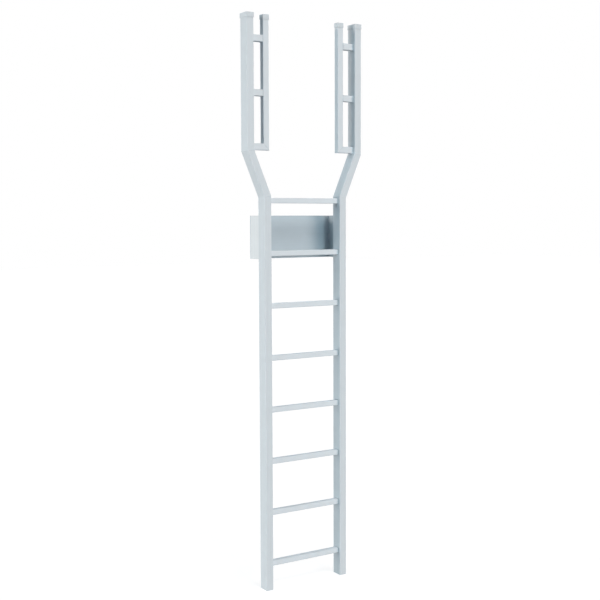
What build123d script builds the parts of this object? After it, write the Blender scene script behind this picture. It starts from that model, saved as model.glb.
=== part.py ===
from build123d import *
import os
from math import cos, radians, sin, tan

# Fixed access ladder with a flared walk-through top, in millimetres, +Z up, climbing side facing -Y.
# The origin is on the floor, midway across and midway between the foremost face and the bracket's back.

# Ladder: two box-section stiles and the rungs let into their inner walls
rung_count = 8
rung_pitch = 300.0
first_rung_height = 150.0
clear_width = 468.0
stile_width = 44.0
stile_depth = 72.0
stile_wall = 3.0
stile_corner = 2.0

# Rung: box section with a ribbed tread on top
rung_height = 30.0
rung_depth = 34.0
rung_wall = 3.0
rung_corner = 2.0
rung_insert = 8.0
socket_clearance = 0.2
groove_pitch = 5.0
groove_width = 2.4
groove_depth = 1.0

# Walk-through top: mitred flare, post, grab rail and spacers
flare_angle = 23.0
flare_offset = 108.0
bend_above_rung = 6.7
rail_width = 37.0
rail_depth = 34.0
rail_wall = 2.5
rail_corner = 2.0
spacer_above_bend = 1.0
spacer_levels = ("lower", "middle", "upper")
post_above_spacer = 111.5

# Slip-over caps on the four upper ends
cap_height = 27.0
cap_top = 3.5
cap_wall = 2.5
cap_clearance = 0.2
cap_corner = 3.0
cap_edge_break = 1.2

# Ribbed plugs in the stiles' lower ends
plug_height = 26.0
plug_sole = 5.0
plug_wall = 2.5
plug_inset = 1.2
fin_clearance = 0.1
fin_thickness = 1.6
fin_pitch = 7.0

# Platform bracket behind the stiles: one back plate on two cheeks
bracket_reach = 100.0
bracket_height = 248.0
bracket_below_rung = 85.0
plate_thickness = 6.0
cheek_thickness = 6.0
cheek_inset = 3.0
plate_edge_break = 0.8

# Places worked out from the sizes above
cap_overhang = cap_wall + cap_clearance
back_y = (cap_overhang + stile_depth + bracket_reach) / 2
stile_y = -back_y + cap_overhang + stile_depth / 2
stile_back_y = stile_y + stile_depth / 2
plate_front_y = back_y - plate_thickness

inner_x = clear_width / 2
stile_x = inner_x + stile_width / 2
outer_x = inner_x + stile_width
post_x = stile_x + flare_offset
post_inner_x = inner_x + flare_offset
rail_x = inner_x + rail_width / 2
rail_outer_x = inner_x + rail_width
cheek_outer_x = outer_x - cheek_inset

rung_heights = [first_rung_height + i * rung_pitch for i in range(rung_count)]
rung_length = clear_width + 2 * rung_insert
tread_flat = rung_depth - 2 * rung_corner
groove_count = int((tread_flat - groove_width) / groove_pitch + 1)

tilt = radians(flare_angle)
flare_rise = flare_offset / tan(tilt)
flare_length = flare_offset / sin(tilt)
mitre_step = stile_width / 2 * tan(tilt / 2)
lower_bend_z = rung_heights[-1] + rung_height / 2 + bend_above_rung
upper_bend_z = lower_bend_z + flare_rise
rail_foot_z = upper_bend_z + mitre_step + spacer_above_bend
spacer_heights = [rail_foot_z + rail_width / 2 + i * rung_pitch for i in range(len(spacer_levels))]
post_top_z = spacer_heights[-1] + rail_width / 2 + post_above_spacer

bracket_z = rung_heights[-1] - bracket_below_rung - bracket_height / 2


def mitre_plane(x, z, hand):
    """Plane that halves the turn between an upright tube and the flare."""
    normal = (hand * sin(tilt / 2), 0, cos(tilt / 2))
    return Plane(origin=(hand * x, stile_y, z), x_dir=(0, 1, 0), z_dir=normal)


def stile_section(plane):
    """Box section shared by the stiles, the flares and the posts."""
    with BuildSketch(plane) as section:
        RectangleRounded(stile_width, stile_depth, stile_corner)
        Rectangle(stile_width - 2 * stile_wall, stile_depth - 2 * stile_wall, mode=Mode.SUBTRACT)
    return section.sketch


def rail_section(plane):
    """Box section shared by the grab rails and the spacers, its width along the plane's X."""
    with BuildSketch(plane) as section:
        RectangleRounded(rail_width, rail_depth, rail_corner)
        Rectangle(rail_width - 2 * rail_wall, rail_depth - 2 * rail_wall, mode=Mode.SUBTRACT)
    return section.sketch


def make_stile(hand):
    with BuildPart() as stile:
        foot = Plane((hand * stile_x, stile_y, 0))
        extrude(stile_section(foot), amount=lower_bend_z + stile_width)
        split(bisect_by=mitre_plane(stile_x, lower_bend_z, hand), keep=Keep.BOTTOM)
        with BuildSketch(Plane.YZ.offset(hand * inner_x)):
            with Locations(*[(stile_y, z) for z in rung_heights]):
                socket = (rung_depth + 2 * socket_clearance, rung_height + 2 * socket_clearance)
                RectangleRounded(*socket, rung_corner)
        extrude(amount=hand * stile_wall, mode=Mode.SUBTRACT)
    return stile.part


def make_rung(z):
    with BuildPart() as rung:
        with BuildSketch(Plane.YZ.offset(-rung_length / 2)):
            with Locations((stile_y, z)):
                RectangleRounded(rung_depth, rung_height, rung_corner)
                bore = (rung_depth - 2 * rung_wall, rung_height - 2 * rung_wall)
                Rectangle(*bore, mode=Mode.SUBTRACT)
            with Locations((stile_y, z + rung_height / 2)):
                with GridLocations(groove_pitch, 0, groove_count, 1):
                    Rectangle(groove_width, 2 * groove_depth, mode=Mode.SUBTRACT)
        extrude(amount=rung_length)
    return rung.part


def make_flare(hand):
    middle = (hand * (stile_x + post_x) / 2, stile_y, (lower_bend_z + upper_bend_z) / 2)
    along = (hand * sin(tilt), 0, cos(tilt))
    across = (cos(tilt), 0, -hand * sin(tilt))
    with BuildPart() as flare:
        section = stile_section(Plane(origin=middle, x_dir=across, z_dir=along))
        extrude(section, amount=flare_length / 2 + stile_width, both=True)
        split(bisect_by=mitre_plane(stile_x, lower_bend_z, hand), keep=Keep.TOP)
        split(bisect_by=mitre_plane(post_x, upper_bend_z, hand), keep=Keep.BOTTOM)
    return flare.part


def make_post(hand):
    with BuildPart() as post:
        top = Plane((hand * post_x, stile_y, post_top_z))
        extrude(stile_section(top), amount=upper_bend_z - stile_width - post_top_z)
        split(bisect_by=mitre_plane(post_x, upper_bend_z, hand), keep=Keep.TOP)
    return post.part


def rail_corner_plane(hand):
    """Plane of the 45 degree mitre between a grab rail and its lower spacer."""
    return Plane(origin=(hand * inner_x, stile_y, rail_foot_z), x_dir=(0, 1, 0), z_dir=(-hand, 0, 1))


def make_grab_rail(hand):
    with BuildPart() as rail:
        foot = Plane((hand * rail_x, stile_y, rail_foot_z))
        extrude(rail_section(foot), amount=post_top_z - rail_foot_z)
        split(bisect_by=rail_corner_plane(hand), keep=Keep.TOP)
    return rail.part


def make_spacer(hand, z, mitred):
    """Short tube on the post's inner face; the lowest one turns the corner into the grab rail."""
    end_x = inner_x if mitred else rail_outer_x
    with BuildPart() as spacer:
        seat = Plane(origin=(hand * post_inner_x, stile_y, z), x_dir=(0, 0, 1), z_dir=(-hand, 0, 0))
        extrude(rail_section(seat), amount=post_inner_x - end_x)
        if mitred:
            split(bisect_by=rail_corner_plane(hand), keep=Keep.BOTTOM)
    return spacer.part


def make_cap(x, width, depth, corner):
    """Moulded cap that slips over a tube and rests on its end."""
    with BuildPart() as cap:
        with BuildSketch(Plane.XY.offset(post_top_z + cap_top)):
            with Locations((x, stile_y)):
                outer = (width + 2 * cap_overhang, depth + 2 * cap_overhang)
                RectangleRounded(*outer, cap_corner)
        extrude(amount=-cap_height)
        with BuildSketch(Plane.XY.offset(post_top_z)):
            with Locations((x, stile_y)):
                inner = (width + 2 * cap_clearance, depth + 2 * cap_clearance)
                RectangleRounded(*inner, corner)
        extrude(amount=cap_top - cap_height, mode=Mode.SUBTRACT)
        chamfer(cap.faces().sort_by(Axis.Z)[-1].outer_wire().edges(), cap_edge_break)
    return cap.part


def make_foot_plug(hand):
    """Ribbed plug pressed into the stile's end, its sole flush with the cut."""
    bore = (stile_width - 2 * stile_wall, stile_depth - 2 * stile_wall)
    fin_count = int((plug_height - plug_sole - fin_thickness) / fin_pitch + 1)
    with BuildPart() as plug:
        with BuildSketch():
            with Locations((hand * stile_x, stile_y)):
                Rectangle(bore[0] - 2 * plug_inset, bore[1] - 2 * plug_inset)
        extrude(amount=plug_height)
        for level in [0] + [plug_sole + i * fin_pitch for i in range(fin_count)]:
            with BuildSketch(Plane.XY.offset(level)):
                with Locations((hand * stile_x, stile_y)):
                    Rectangle(bore[0] - 2 * fin_clearance, bore[1] - 2 * fin_clearance)
            extrude(amount=fin_thickness)
        with BuildSketch(Plane.XY.offset(plug_sole)):
            with Locations((hand * stile_x, stile_y)):
                hollow = 2 * (plug_inset + plug_wall)
                Rectangle(bore[0] - hollow, bore[1] - hollow)
        extrude(amount=plug_height - plug_sole, mode=Mode.SUBTRACT)
    return plug.part


def make_bracket_plate():
    with BuildPart() as plate:
        with BuildSketch(Plane.XZ.offset(-back_y)):
            with Locations((0, bracket_z)):
                Rectangle(2 * cheek_outer_x, bracket_height)
        extrude(amount=plate_thickness)
        chamfer(plate.edges(), plate_edge_break)
    return plate.part


def make_bracket_cheek(hand):
    with BuildPart() as cheek:
        with BuildSketch(Plane.YZ.offset(hand * cheek_outer_x)):
            with Locations(((stile_back_y + plate_front_y) / 2, bracket_z)):
                Rectangle(plate_front_y - stile_back_y, bracket_height)
        extrude(amount=-hand * cheek_thickness)
        chamfer(cheek.edges(), plate_edge_break)
    return cheek.part


# Every piece under the name that a fitter would use
pieces = {"bracket_plate": make_bracket_plate()}
for number, height in enumerate(rung_heights, start=1):
    pieces[f"rung_{number}"] = make_rung(height)
for side, hand in (("left", -1), ("right", 1)):
    pieces[f"{side}_stile"] = make_stile(hand)
    pieces[f"{side}_foot_plug"] = make_foot_plug(hand)
    pieces[f"{side}_flare"] = make_flare(hand)
    pieces[f"{side}_post"] = make_post(hand)
    pieces[f"{side}_post_cap"] = make_cap(hand * post_x, stile_width, stile_depth, stile_corner)
    pieces[f"{side}_grab_rail"] = make_grab_rail(hand)
    pieces[f"{side}_rail_cap"] = make_cap(hand * rail_x, rail_width, rail_depth, rail_corner)
    pieces[f"{side}_bracket_cheek"] = make_bracket_cheek(hand)
    for level, height in zip(spacer_levels, spacer_heights):
        lowest = level == spacer_levels[0]
        pieces[f"{side}_{level}_spacer"] = make_spacer(hand, height, mitred=lowest)

os.makedirs("parts", exist_ok=True)
for name, piece in pieces.items():
    piece.label = name
    export_step(piece, f"parts/{name}.step")
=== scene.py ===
import math

import bmesh
import bpy
from mathutils import Matrix, Vector


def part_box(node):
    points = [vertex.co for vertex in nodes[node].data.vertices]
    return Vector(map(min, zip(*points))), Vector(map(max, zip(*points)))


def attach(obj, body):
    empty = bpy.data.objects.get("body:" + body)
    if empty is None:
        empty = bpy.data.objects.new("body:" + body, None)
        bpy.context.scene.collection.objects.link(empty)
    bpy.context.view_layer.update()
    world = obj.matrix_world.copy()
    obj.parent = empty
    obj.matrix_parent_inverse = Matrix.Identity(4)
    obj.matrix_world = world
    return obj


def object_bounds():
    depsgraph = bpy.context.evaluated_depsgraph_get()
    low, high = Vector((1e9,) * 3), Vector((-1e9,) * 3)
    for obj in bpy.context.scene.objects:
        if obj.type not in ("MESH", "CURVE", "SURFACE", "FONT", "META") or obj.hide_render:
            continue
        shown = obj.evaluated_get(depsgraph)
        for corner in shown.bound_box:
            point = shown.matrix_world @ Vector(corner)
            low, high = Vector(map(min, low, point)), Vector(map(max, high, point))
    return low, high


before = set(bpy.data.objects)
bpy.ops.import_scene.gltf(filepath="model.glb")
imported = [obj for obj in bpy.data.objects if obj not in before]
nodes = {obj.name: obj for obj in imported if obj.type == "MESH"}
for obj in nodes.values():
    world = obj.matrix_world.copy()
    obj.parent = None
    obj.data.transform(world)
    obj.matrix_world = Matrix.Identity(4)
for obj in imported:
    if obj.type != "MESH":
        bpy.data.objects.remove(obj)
cad_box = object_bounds()

scene = bpy.context.scene
scene.view_settings.view_transform = "Standard"

# Access ladder in satin aluminium, in metres, with the climbing side facing -Y.
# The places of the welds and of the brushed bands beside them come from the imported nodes.
HANDS = {"left": -1, "right": 1}
SPACER_LEVELS = ("lower", "middle", "upper")
FLARE_ANGLE = math.radians(23)
TUBE_CORNER = 0.002

rungs = sorted(name for name in nodes if name.startswith("rung_"))
stile_low, stile_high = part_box("right_stile")
post_low, post_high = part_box("right_post")
rail_low, rail_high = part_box("right_grab_rail")
cheek_low, cheek_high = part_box("right_bracket_cheek")

tube_width = stile_high.x - stile_low.x
tube_depth = stile_high.y - stile_low.y
rail_width = rail_high.x - rail_low.x
rail_depth = rail_high.y - rail_low.y
stile_x = (stile_low.x + stile_high.x) / 2
stile_y = (stile_low.y + stile_high.y) / 2
post_x = (post_low.x + post_high.x) / 2
rail_x = (rail_low.x + rail_high.x) / 2
mitre_step = tube_width / 2 * math.tan(FLARE_ANGLE / 2)
lower_bend_z = stile_high.z - mitre_step
upper_bend_z = post_low.z + mitre_step
rail_corner_z = rail_low.z + rail_width / 2

UP = Vector((0, 0, 1))


def flare_direction(hand):
    return Vector((hand * math.sin(FLARE_ANGLE), 0, math.cos(FLARE_ANGLE)))


def bends(hand):
    """One side's lower bend, upper bend and rail corner: place, both directions, width and depth."""
    slope = flare_direction(hand)
    inward = Vector((-hand, 0, 0))
    return (
        (Vector((hand * stile_x, stile_y, lower_bend_z)), UP, slope, tube_width, tube_depth),
        (Vector((hand * post_x, stile_y, upper_bend_z)), slope, UP, tube_width, tube_depth),
        (Vector((hand * rail_x, stile_y, rail_corner_z)), inward, UP, rail_width, rail_depth),
    )


def mitre_plane(bend):
    """A mitred corner's place, and the normal of the plane on which its two tubes are cut."""
    place, before, after = bend[:3]
    return place, (before + after).normalized()


# Camera at the photograph's viewing angle, for a square frame
EYE = Vector((-3.3144, -5.2560, 2.1481))
YAW = math.radians(32.30)
PITCH = math.radians(-4.39)
ROLL = math.radians(-0.21)
FOCAL_PIXELS = 1062.2
FRAME_PIXELS = 600
SENSOR_MM = 36
FAR_CLIP = 200


def add_camera():
    forward = Vector((math.sin(YAW) * math.cos(PITCH), math.cos(YAW) * math.cos(PITCH), math.sin(PITCH)))
    level = Vector((math.cos(YAW), -math.sin(YAW), 0))
    upright = level.cross(forward)
    right = level * math.cos(ROLL) + upright * math.sin(ROLL)
    top = upright * math.cos(ROLL) - level * math.sin(ROLL)
    camera = bpy.data.objects.new("camera", bpy.data.cameras.new("camera"))
    camera.data.sensor_width = SENSOR_MM
    camera.data.lens = FOCAL_PIXELS / FRAME_PIXELS * SENSOR_MM
    camera.data.clip_end = FAR_CLIP
    camera.matrix_world = Matrix((right, top, -forward)).transposed().to_4x4()
    camera.location = EYE
    scene.collection.objects.link(camera)
    scene.camera = camera


class Shader:
    """A material's nodes, with one short method for each kind that the finishes use."""

    def __init__(self, name):
        self.material = bpy.data.materials.new(name)
        self.material.use_nodes = True
        self.tree = self.material.node_tree
        self.surface = self.tree.nodes["Principled BSDF"]
        self.place = self.tree.nodes.new("ShaderNodeTexCoord").outputs["Object"]

    def feed(self, socket, value):
        """Links a socket to another node's output, or sets it to a plain value."""
        if isinstance(value, bpy.types.NodeSocket):
            self.tree.links.new(value, socket)
        else:
            socket.default_value = value

    def maths(self, operation, first, second=0.0):
        node = self.tree.nodes.new("ShaderNodeMath")
        node.operation = operation
        self.feed(node.inputs[0], first)
        self.feed(node.inputs[1], second)
        return node.outputs[0]

    def vectors(self, operation, first, second, output="Vector"):
        node = self.tree.nodes.new("ShaderNodeVectorMath")
        node.operation = operation
        self.feed(node.inputs[0], first)
        self.feed(node.inputs[1], second)
        return node.outputs[output]

    def axes(self):
        """The place's X, Y and Z as three outputs."""
        node = self.tree.nodes.new("ShaderNodeSeparateXYZ")
        self.feed(node.inputs[0], self.place)
        return node.outputs

    def along(self, tilt, stretch):
        """The place in a frame whose Z leans from upright by tilt about Y and is drawn out by stretch."""
        node = self.tree.nodes.new("ShaderNodeMapping")
        node.vector_type = "TEXTURE"
        self.feed(node.inputs["Vector"], self.place)
        node.inputs["Rotation"].default_value = (0, tilt, 0)
        node.inputs["Scale"].default_value = (1, 1, stretch)
        return node.outputs[0]

    def noise(self, place, feature, detail=2.0):
        """Noise whose features are about the given size."""
        node = self.tree.nodes.new("ShaderNodeTexNoise")
        self.feed(node.inputs["Vector"], place)
        node.inputs["Scale"].default_value = 1 / feature
        node.inputs["Detail"].default_value = detail
        return node.outputs["Fac"]

    def span(self, value, low, high, to_low=0.0, to_high=1.0):
        """A value between low and high carried over, smoothly, to the other span."""
        node = self.tree.nodes.new("ShaderNodeMapRange")
        node.interpolation_type = "SMOOTHSTEP"
        self.feed(node.inputs["Value"], value)
        node.inputs["From Min"].default_value = low
        node.inputs["From Max"].default_value = high
        node.inputs["To Min"].default_value = to_low
        node.inputs["To Max"].default_value = to_high
        return node.outputs["Result"]

    def shares(self, *parts, start=0.0):
        """A plain number plus the sum of several outputs, each times its share."""
        total = start
        for value, share in parts:
            total = self.maths("ADD", self.maths("MULTIPLY", value, share), total)
        return total

    def tones(self, value, *stops):
        """Colour of a value, from stops given as place and colour."""
        node = self.tree.nodes.new("ShaderNodeValToRGB")
        self.feed(node.inputs["Fac"], value)
        ramp = node.color_ramp.elements
        while len(ramp) < len(stops):
            ramp.new(1.0)
        for element, (position, colour) in zip(ramp, stops):
            element.position = position
            element.color = (*colour, 1)
        return node.outputs["Color"]

    def bump(self, height, strength, depth):
        node = self.tree.nodes.new("ShaderNodeBump")
        self.feed(node.inputs["Height"], height)
        node.inputs["Strength"].default_value = strength
        node.inputs["Distance"].default_value = depth
        self.tree.links.new(node.outputs["Normal"], self.surface.inputs["Normal"])

    def set(self, values):
        """Feeds the surface's own sockets by name."""
        for name, value in values.items():
            self.feed(self.surface.inputs[name], value)


def shade(colour, share):
    return tuple(channel * share for channel in colour)


# Finishes: colours, and shares of them
WHITE = (1, 1, 1)
TUBE_METAL = (0.604, 0.658, 0.701)
RUNG_METAL = (0.652, 0.710, 0.757)
RAIL_METAL = (0.634, 0.690, 0.736)
CHEEK_METAL = (0.700, 0.740, 0.770)
# Plate colour darker and bluer than the tubes: painted shade for the plate set back behind the stiles
SHADED_PLATE_METAL = (0.450, 0.527, 0.581)
CAP_GREY = (0.612, 0.667, 0.709)
FOOT_BLACK = (0.022, 0.023, 0.025)
# Painted shade: colour by which the inside faces of the bracket cheeks are darkened
INSIDE_PAINTED_SHADE = (0.64, 0.71, 0.75)
LINE_DARK, LINE_LIGHT, BRUSHED_LIGHT = 0.97, 1.03, 1.07
MOTTLE_DARK, MOTTLE_LIGHT = 0.96, 1.04
BRIGHT_WELD = 0.99
# Rung welds are darker partly as dull filler and partly as painted shade for the shadow line above each
# rung's end
DULL_AND_SHADED_WELD = 0.74
FROST_CONTRAST = 0.09

# Gloss
METAL_SHARE = 0.05
SPECULAR_LEVEL = 0.2
METAL_ROUGHNESS = 0.54
WELD_ROUGHNESS = (0.44, 0.6)
CAP_ROUGHNESS = 0.48
FOOT_ROUGHNESS = 0.55

# Sizes of the marks, how far they are drawn out along the grain, and the tilt of the grain from upright
DIE_LINE_SIZE, DIE_LINE_STRETCH = 0.0009, 60
STREAK_SIZE, STREAK_STRETCH = 0.011, 40
BRUSH_SIZE, BRUSH_STRETCH = 0.0012, 12
CLOUD_SIZE = 0.07
MOULD_GRAIN_SIZE = 0.0006
FLOW_SIZE = 0.012
FROST_SIZE = 0.0015
UPRIGHT = 0.0
LEVEL = math.radians(90)

# Part of each noise that shows, and the brushed bands beside the welds
LINE_SPAN = (0.36, 0.64)
BRUSH_SPAN = (0.3, 0.7)
MOTTLE_SPAN = (0.35, 0.65)
FROST_SPAN = (0.3, 0.7)
LINE_SHARE = 0.7
BAND_START = 0.003
BAND_REACH = 0.016
FAR_FROM_SEAMS = 1.0
FACE_TOLERANCE = 0.0005


def seam_band(finish, seams):
    """One beside each welded seam, fading out with the distance from the seam's plane."""
    nearest = FAR_FROM_SEAMS
    for point, normal in seams:
        offset = finish.vectors("SUBTRACT", finish.place, point)
        distance = finish.vectors("DOT_PRODUCT", offset, normal, "Value")
        nearest = finish.maths("MINIMUM", finish.maths("ABSOLUTE", distance), nearest)
    return finish.span(nearest, BAND_START, BAND_REACH, to_low=1.0, to_high=0.0)


def socket_band(finish):
    """One round each rung's socket in the inner face of a stile, fading out with the distance from it."""
    low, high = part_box(rungs[0])
    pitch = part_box(rungs[1])[0].z - low.z
    x, y, z = finish.axes()
    middle_z = (low.z + high.z) / 2
    beside = finish.maths("ABSOLUTE", finish.maths("SUBTRACT", y, stile_y))
    above = finish.maths("PINGPONG", finish.maths("SUBTRACT", z, middle_z), pitch / 2)
    beside = finish.maths("MAXIMUM", finish.maths("SUBTRACT", beside, (high.y - low.y) / 2), 0.0)
    above = finish.maths("MAXIMUM", finish.maths("SUBTRACT", above, (high.z - low.z) / 2), 0.0)
    squares = finish.maths("ADD", finish.maths("POWER", beside, 2.0), finish.maths("POWER", above, 2.0))
    distance = finish.maths("SQRT", squares)
    band = finish.span(distance, BAND_START, BAND_REACH, to_low=1.0, to_high=0.0)
    inner_face = finish.maths("LESS_THAN", finish.maths("ABSOLUTE", x), stile_low.x + FACE_TOLERANCE)
    return finish.maths("MULTIPLY", band, inner_face)


def painted_inside_shade(finish):
    """Tone by which a cheek's colour is multiplied: painted shade on the bracket's inside and white on its
    outside.
    """
    outward = finish.maths("ABSOLUTE", finish.axes()[0])
    outer_share = finish.span(outward, cheek_low.x, cheek_high.x)
    return finish.tones(outer_share, (0.1, INSIDE_PAINTED_SHADE), (0.9, WHITE))


def aluminium(name, grain, seams=(), sockets=False, metal=TUBE_METAL, paint_inside_shade=False):
    """Satin extruded aluminium: die lines along the grain, soft clouds, brushed bands beside welds, and
    painted shade on a cheek's inside when asked.
    """
    finish = Shader(name)
    die_lines = finish.noise(finish.along(grain, DIE_LINE_STRETCH), DIE_LINE_SIZE)
    streaks = finish.noise(finish.along(grain, STREAK_STRETCH), STREAK_SIZE, detail=1)
    clouds = finish.noise(finish.place, CLOUD_SIZE, detail=4)
    brushing = finish.noise(finish.along(grain + LEVEL, BRUSH_STRETCH), BRUSH_SIZE)
    lines = finish.span(finish.shares((die_lines, 0.4), (streaks, 0.3), (clouds, 0.3)), *LINE_SPAN)
    band = seam_band(finish, seams)
    if sockets:
        band = finish.maths("MAXIMUM", band, socket_band(finish))
    band = finish.maths("MULTIPLY", band, finish.span(brushing, *BRUSH_SPAN, to_low=0.5))
    wear = finish.shares((lines, LINE_SHARE), (band, 1 - LINE_SHARE))
    dark, light, brushed = (shade(metal, share) for share in (LINE_DARK, LINE_LIGHT, BRUSHED_LIGHT))
    colour = finish.tones(wear, (0, dark), (LINE_SHARE, light), (1, brushed))
    # painted shade on the inside face of the cheek
    if paint_inside_shade:
        colour = finish.vectors("MULTIPLY", colour, painted_inside_shade(finish))
    finish.set({
        "Base Color": colour,
        "Metallic": METAL_SHARE,
        "Specular IOR Level": SPECULAR_LEVEL,
        "Roughness": finish.shares((lines, 0.10), (band, 0.05), (clouds, 0.06), start=METAL_ROUGHNESS),
    })
    finish.bump(finish.shares((die_lines, 0.9), (brushing, 0.2)), strength=0.08, depth=0.0003)
    return finish.material


def moulded_plastic(name, colour, roughness):
    """Moulded plastic with a fine eroded grain and faint flow clouds."""
    finish = Shader(name)
    grain = finish.noise(finish.place, MOULD_GRAIN_SIZE, detail=3)
    clouds = finish.noise(finish.place, FLOW_SIZE, detail=2)
    mottle = finish.span(finish.shares((grain, 0.4), (clouds, 0.6)), *MOTTLE_SPAN)
    dark, light = shade(colour, MOTTLE_DARK), shade(colour, MOTTLE_LIGHT)
    finish.set({
        "Base Color": finish.tones(mottle, (0, dark), (1, light)),
        "Specular IOR Level": SPECULAR_LEVEL,
        "Roughness": finish.shares((mottle, 0.1), start=roughness),
    })
    finish.bump(grain, strength=0.15, depth=0.0002)
    return finish.material


def weld_metal(name, tone):
    """Filler metal with a frosted skin, as bright as the tube at a tone of one."""
    finish = Shader(name)
    frost = finish.noise(finish.place, FROST_SIZE, detail=3)
    dark, light = shade(TUBE_METAL, tone - FROST_CONTRAST), shade(TUBE_METAL, tone + FROST_CONTRAST)
    finish.set({
        "Base Color": finish.tones(frost, (FROST_SPAN[0], dark), (FROST_SPAN[1], light)),
        "Metallic": METAL_SHARE,
        "Specular IOR Level": SPECULAR_LEVEL,
        "Roughness": finish.span(frost, *FROST_SPAN, *WELD_ROUGHNESS),
    })
    finish.bump(frost, strength=0.2, depth=0.0003)
    return finish.material


def dress(name, material):
    nodes[name].data.materials.clear()
    nodes[name].data.materials.append(material)


def finish_nodes():
    """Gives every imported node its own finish."""
    cap_plastic = moulded_plastic("cap_plastic", CAP_GREY, CAP_ROUGHNESS)
    foot_plastic = moulded_plastic("foot_plastic", FOOT_BLACK, FOOT_ROUGHNESS)
    across = Vector((1, 0, 0))
    ends = [(Vector((hand * stile_low.x, 0, 0)), across) for hand in HANDS.values()]
    for name in rungs:
        dress(name, aluminium(f"{name}_aluminium", LEVEL, ends, metal=RUNG_METAL))
    # the plate's darker, bluer colour is painted shade
    dress("bracket_plate", aluminium("plate_aluminium", LEVEL, metal=SHADED_PLATE_METAL))
    for side, hand in HANDS.items():
        lower, upper, rail = (mitre_plane(bend) for bend in bends(hand))
        post_face = (Vector((hand * post_low.x, 0, 0)), across)
        rail_face = (Vector((hand * rail_high.x, 0, 0)), across)
        dress(f"{side}_stile", aluminium(f"{side}_stile_aluminium", UPRIGHT, [lower], sockets=True))
        dress(f"{side}_flare", aluminium(f"{side}_flare_aluminium", hand * FLARE_ANGLE, [lower, upper]))
        dress(f"{side}_post", aluminium(f"{side}_post_aluminium", UPRIGHT, [upper]))
        dress(f"{side}_grab_rail", aluminium(f"{side}_rail_aluminium", UPRIGHT, [rail], metal=RAIL_METAL))
        # the cheek's inside face carries painted shade
        cheek = aluminium(f"{side}_cheek_aluminium", UPRIGHT, metal=CHEEK_METAL, paint_inside_shade=True)
        dress(f"{side}_bracket_cheek", cheek)
        for level in SPACER_LEVELS:
            far_seam = rail if level == "lower" else rail_face
            finish_name = f"{side}_{level}_spacer_aluminium"
            spacer = aluminium(finish_name, LEVEL, [post_face, far_seam], metal=RAIL_METAL)
            dress(f"{side}_{level}_spacer", spacer)
        dress(f"{side}_post_cap", cap_plastic)
        dress(f"{side}_rail_cap", cap_plastic)
        dress(f"{side}_foot_plug", foot_plastic)


# Weld beads
WELD_LEG = 0.003
WELD_SINK = 0.0005
WELD_BULGE = 0.35
RIPPLE_PITCH = 0.003
RIPPLE_DEPTH = 0.14
RINGS_PER_RIPPLE = 3
FILLET_STEPS = 4
SEAM_STEPS = 2
SEAM_WIDTH = 0.006
SEAM_HEIGHT = 0.0007
STITCH_LENGTH = 0.040
STITCHES = 3
END_TAPER = 4


def around(width, depth, corner):
    """Points and outward directions on a rectangle with round corners, a fixed number to each weld ripple."""
    half = Vector((width / 2 - corner, depth / 2 - corner))
    corners = [Vector((half.x * a, half.y * b)) for a, b in ((1, 1), (-1, 1), (-1, -1), (1, -1))]
    arc = math.pi / 2 * corner
    perimeter = 4 * (half.x + half.y + arc)
    count = round(perimeter / RIPPLE_PITCH) * RINGS_PER_RIPPLE
    points = []
    for index in range(count):
        left = perimeter * index / count
        for quarter in range(4):
            centre, following = corners[quarter], corners[(quarter + 1) % 4]
            run = (following - centre).length
            if left < arc + run:
                turn = math.pi / 2 * (quarter + min(left / arc, 1))
                outward = Vector((math.cos(turn), math.sin(turn)))
                onward = max(left - arc, 0) / run
                points.append((centre.lerp(following, onward) + outward * corner, outward))
                break
            left -= arc + run
    return points


def ripple(index):
    """Share of a bead's full size at one ring, least in the notch between two ripples."""
    return 1 - RIPPLE_DEPTH * (1 - math.sin(math.pi * (index % RINGS_PER_RIPPLE) / RINGS_PER_RIPPLE))


def fillet_ring(foot, out, rise, leg):
    """Section of a fillet weld between two faces that meet at foot, with its root sunk into both."""
    ring = [foot - (out + rise) * WELD_SINK]
    for step in range(FILLET_STEPS + 1):
        turn = math.pi / 2 * step / FILLET_STEPS
        u, v = math.cos(turn), math.sin(turn)
        reach = leg * ((1 - WELD_BULGE) / (u + v) + WELD_BULGE)
        sunk_u = u * reach if step < FILLET_STEPS else -WELD_SINK
        sunk_v = v * reach if step > 0 else -WELD_SINK
        ring.append(foot + out * sunk_u + rise * sunk_v)
    return ring


def seam_ring(foot, out, across, slope, size):
    """Section of a low seam weld over a mitre whose two faces fall or rise from it by slope."""
    ring = [foot - out * (SEAM_HEIGHT + SEAM_WIDTH * max(-slope, 0))]
    for step in range(-SEAM_STEPS, SEAM_STEPS + 1):
        place = SEAM_WIDTH / 2 * step / SEAM_STEPS
        sink = WELD_SINK if abs(step) == SEAM_STEPS else 0
        crown = SEAM_HEIGHT * size * (1 - (step / SEAM_STEPS) ** 2) - sink
        ring.append(foot + across * place + out * (slope * abs(place) + crown))
    return ring


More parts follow.
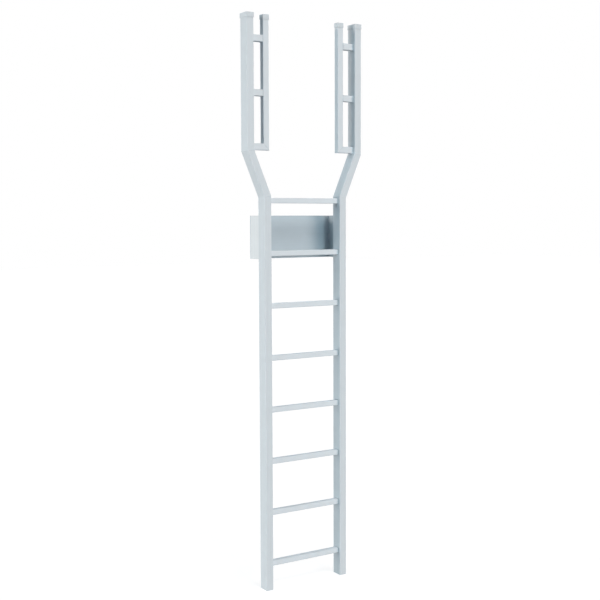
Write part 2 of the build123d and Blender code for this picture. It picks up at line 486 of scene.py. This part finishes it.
class Beads:
    """Collects weld beads, each a skin over a row of rings, into one mesh piece."""

    def __init__(self):
        self.mesh = bmesh.new()

    def skin(self, rings, closed):
        rows = [[self.mesh.verts.new(point) for point in ring] for ring in rings]
        size = len(rows[0])
        last = len(rows) if closed else len(rows) - 1
        for index in range(last):
            row, following = rows[index], rows[(index + 1) % len(rows)]
            for corner in range(size):
                after = (corner + 1) % size
                self.mesh.faces.new((row[corner], row[after], following[after], following[corner]))
        if not closed:
            self.mesh.faces.new(rows[0])
            self.mesh.faces.new(rows[-1])

    def tube_end(self, low, high, face_x, rise):
        """Fillet round a tube that runs along X and ends on a face at face_x."""
        middle = (low + high) / 2
        rings = []
        for index, (point, outward) in enumerate(around(high.y - low.y, high.z - low.z, TUBE_CORNER)):
            foot = Vector((face_x, middle.y + point.x, middle.z + point.y))
            out = Vector((0, outward.x, outward.y))
            rings.append(fillet_ring(foot, out, rise, WELD_LEG * ripple(index)))
        self.skin(rings, closed=True)

    def mitre(self, bend, before, after, width, depth):
        """Seam round a mitred corner, worked out on the section of the upright one of its two tubes."""
        across = (before + after).normalized()
        section = around(width, depth, TUBE_CORNER)
        feet = [bend + Vector((p.x, p.y, -p.x * across.x / across.z)) for p, outward in section]
        rings = []
        for index, foot in enumerate(feet):
            tangent = feet[(index + 1) % len(feet)] - feet[index - 1]
            out = tangent.cross(across).normalized()
            if out.dot(foot - bend) < 0:
                out.negate()
            slope = after.dot(out) / after.dot(across)
            rings.append(seam_ring(foot, out, across, slope, ripple(index)))
        self.skin(rings, closed=True)

    def stitch(self, start, out, rise):
        """Short straight fillet that runs upward from start."""
        count = round(STITCH_LENGTH / RIPPLE_PITCH) * RINGS_PER_RIPPLE
        rings = []
        for index in range(count + 1):
            foot = start + UP * (STITCH_LENGTH * index / count)
            taper = min(1, (1 + min(index, count - index)) / END_TAPER)
            rings.append(fillet_ring(foot, out, rise, WELD_LEG * ripple(index) * taper))
        self.skin(rings, closed=False)

    def piece(self, name, material):
        bmesh.ops.recalc_face_normals(self.mesh, faces=self.mesh.faces)
        for face in self.mesh.faces:
            face.smooth = True
        data = bpy.data.meshes.new(name)
        self.mesh.to_mesh(data)
        self.mesh.free()
        data.materials.append(material)
        made = bpy.data.objects.new(name, data)
        scene.collection.objects.link(made)
        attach(made, "root")


def add_welds():
    bright = weld_metal("bright_weld_metal", BRIGHT_WELD)
    # darker weld metal for the rungs: dull filler and painted shade along the joints
    dull_and_shaded = weld_metal("dull_and_shaded_weld_metal", DULL_AND_SHADED_WELD)
    bracket = Beads()
    for side, hand in HANDS.items():
        inward, outward = Vector((-hand, 0, 0)), Vector((hand, 0, 0))

        ladder = Beads()
        for name in rungs:
            ladder.tube_end(*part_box(name), hand * stile_low.x, inward)
        ladder.piece(f"{side}_rung_welds", dull_and_shaded)

        top = Beads()
        for level in SPACER_LEVELS:
            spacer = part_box(f"{side}_{level}_spacer")
            top.tube_end(*spacer, hand * post_low.x, inward)
            if level != "lower":
                top.tube_end(*spacer, hand * rail_high.x, outward)
        for bend in bends(hand):
            top.mitre(*bend)
        top.piece(f"{side}_top_welds", bright)

        backward, forward = Vector((0, 1, 0)), Vector((0, -1, 0))
        spread = (cheek_high.z - cheek_low.z - STITCH_LENGTH) / (STITCHES - 1)
        for index in range(STITCHES):
            corner = Vector((hand * cheek_low.x, 0, cheek_low.z + spread * index))
            bracket.stitch(corner + backward * cheek_low.y, inward, backward)
            bracket.stitch(corner + backward * cheek_high.y, inward, forward)
    bracket.piece("bracket_welds", bright)


# Studio: white floor and surroundings, soft lamps
FLOOR_REACH = 40
FLOOR_GREY = 0.3
FLOOR_GLOW = 0.83
SURROUND_LIGHT = 0.09
SURROUND_TINT = (0.3, 0.65, 1.0)
WARM = (1.0, 0.83, 0.74)
COOL = (0.72, 0.93, 1.0)
PLAIN = (1.0, 1.0, 0.96)
# Distant lamps by bearing, height, strength, softness and tint; angles are in degrees
LAMPS = {
    "left_key": (-90, 4, 0.95, 4, WARM),
    "left_front_fill": (-80, 8, 0.65, 16, COOL),
    "left_back_fill": (-107, 25, 0.6, 30, PLAIN),
    "high_lamp": (0, 55, 1.1, 20, PLAIN),
    "front_lamp": (0, 6, 0.7, 12, COOL),
    "front_right_lamp": (25, 15, 1.55, 30, WARM),
    "right_lamp": (110, 8, 1.0, 16, COOL),
    "back_lamp": (170, 6, 1.3, 12, PLAIN),
}
# Soft lamp that stands near the floor
LOW_LAMP = {
    "bearing": -107,
    "distance": 8,
    "height": 0.6,
    "across": 1.2,
    "strength": 0.75,
    "tint": PLAIN,
}


def seen_share(tree):
    """One for rays from the camera, from gloss and through glass, and none for light that falls on things."""
    path = tree.nodes.new("ShaderNodeLightPath")
    share = path.outputs["Is Camera Ray"]
    for kind in ("Is Glossy Ray", "Is Transmission Ray"):
        either = tree.nodes.new("ShaderNodeMath")
        either.operation = "MAXIMUM"
        tree.links.new(share, either.inputs[0])
        tree.links.new(path.outputs[kind], either.inputs[1])
        share = either.outputs[0]
    return share


def add_floor():
    """Floor that looks white where the lamps reach it and a little darker in the ladder's shadow."""
    material = bpy.data.materials.new("white_floor")
    material.use_nodes = True
    tree = material.node_tree
    tree.nodes.clear()
    output = tree.nodes.new("ShaderNodeOutputMaterial")
    both = tree.nodes.new("ShaderNodeAddShader")
    matt = tree.nodes.new("ShaderNodeBsdfDiffuse")
    glow = tree.nodes.new("ShaderNodeEmission")
    matt.inputs["Color"].default_value = (FLOOR_GREY, FLOOR_GREY, FLOOR_GREY, 1)
    glow.inputs["Color"].default_value = (FLOOR_GLOW, FLOOR_GLOW, FLOOR_GLOW, 1)
    tree.links.new(seen_share(tree), glow.inputs["Strength"])
    tree.links.new(matt.outputs[0], both.inputs[0])
    tree.links.new(glow.outputs[0], both.inputs[1])
    tree.links.new(both.outputs[0], output.inputs["Surface"])
    data = bpy.data.meshes.new("floor")
    corners = [(a * FLOOR_REACH, b * FLOOR_REACH, 0) for a, b in ((-1, -1), (1, -1), (1, 1), (-1, 1))]
    data.from_pydata(corners, [], [(0, 1, 2, 3)])
    data.materials.append(material)
    floor = bpy.data.objects.new("floor", data)
    scene.collection.objects.link(floor)


def add_surroundings():
    scene.world = bpy.data.worlds.new("studio")
    scene.world.use_nodes = True
    tree = scene.world.node_tree
    tree.nodes.clear()
    output = tree.nodes.new("ShaderNodeOutputWorld")
    mixed = tree.nodes.new("ShaderNodeMixShader")
    dim = tree.nodes.new("ShaderNodeBackground")
    white = tree.nodes.new("ShaderNodeBackground")
    dim.inputs["Color"].default_value = (*SURROUND_TINT, 1)
    dim.inputs["Strength"].default_value = SURROUND_LIGHT
    white.inputs["Color"].default_value = (*WHITE, 1)
    tree.links.new(seen_share(tree), mixed.inputs["Fac"])
    tree.links.new(dim.outputs[0], mixed.inputs[1])
    tree.links.new(white.outputs[0], mixed.inputs[2])
    tree.links.new(mixed.outputs[0], output.inputs["Surface"])


def direction(bearing, height=0):
    """Unit vector towards a bearing and a height in degrees; bearing 0 is in front and -90 at the left."""
    turn, lift = math.radians(bearing), math.radians(height)
    return Vector((math.sin(turn) * math.cos(lift), -math.cos(turn) * math.cos(lift), math.sin(lift)))


def new_lamp(name, kind, strength, tint, towards):
    lamp = bpy.data.objects.new(name, bpy.data.lights.new(name, kind))
    lamp.data.energy = strength
    lamp.data.color = tint
    lamp.rotation_mode = "QUATERNION"
    lamp.rotation_quaternion = towards.to_track_quat("Z", "Y")
    scene.collection.objects.link(lamp)
    return lamp


def add_lamps():
    for name, (bearing, height, strength, softness, tint) in LAMPS.items():
        lamp = new_lamp(name, "SUN", strength, tint, direction(bearing, height))
        lamp.data.angle = math.radians(softness)
    place = direction(LOW_LAMP["bearing"]) * LOW_LAMP["distance"] + Vector((0, 0, LOW_LAMP["height"]))
    ladder_middle = (Vector(cad_box[0]) + Vector(cad_box[1])) / 2
    # watts that light the ladder as a distant lamp of the same strength does
    watts = LOW_LAMP["strength"] * math.pi * LOW_LAMP["distance"] ** 2
    lamp = new_lamp("left_low_lamp", "AREA", watts, LOW_LAMP["tint"], place - ladder_middle)
    lamp.data.shape = "DISK"
    lamp.data.size = LOW_LAMP["across"]
    lamp.location = place
    lamp.visible_camera = False


add_camera()
finish_nodes()
add_welds()
add_floor()
add_surroundings()
add_lamps()
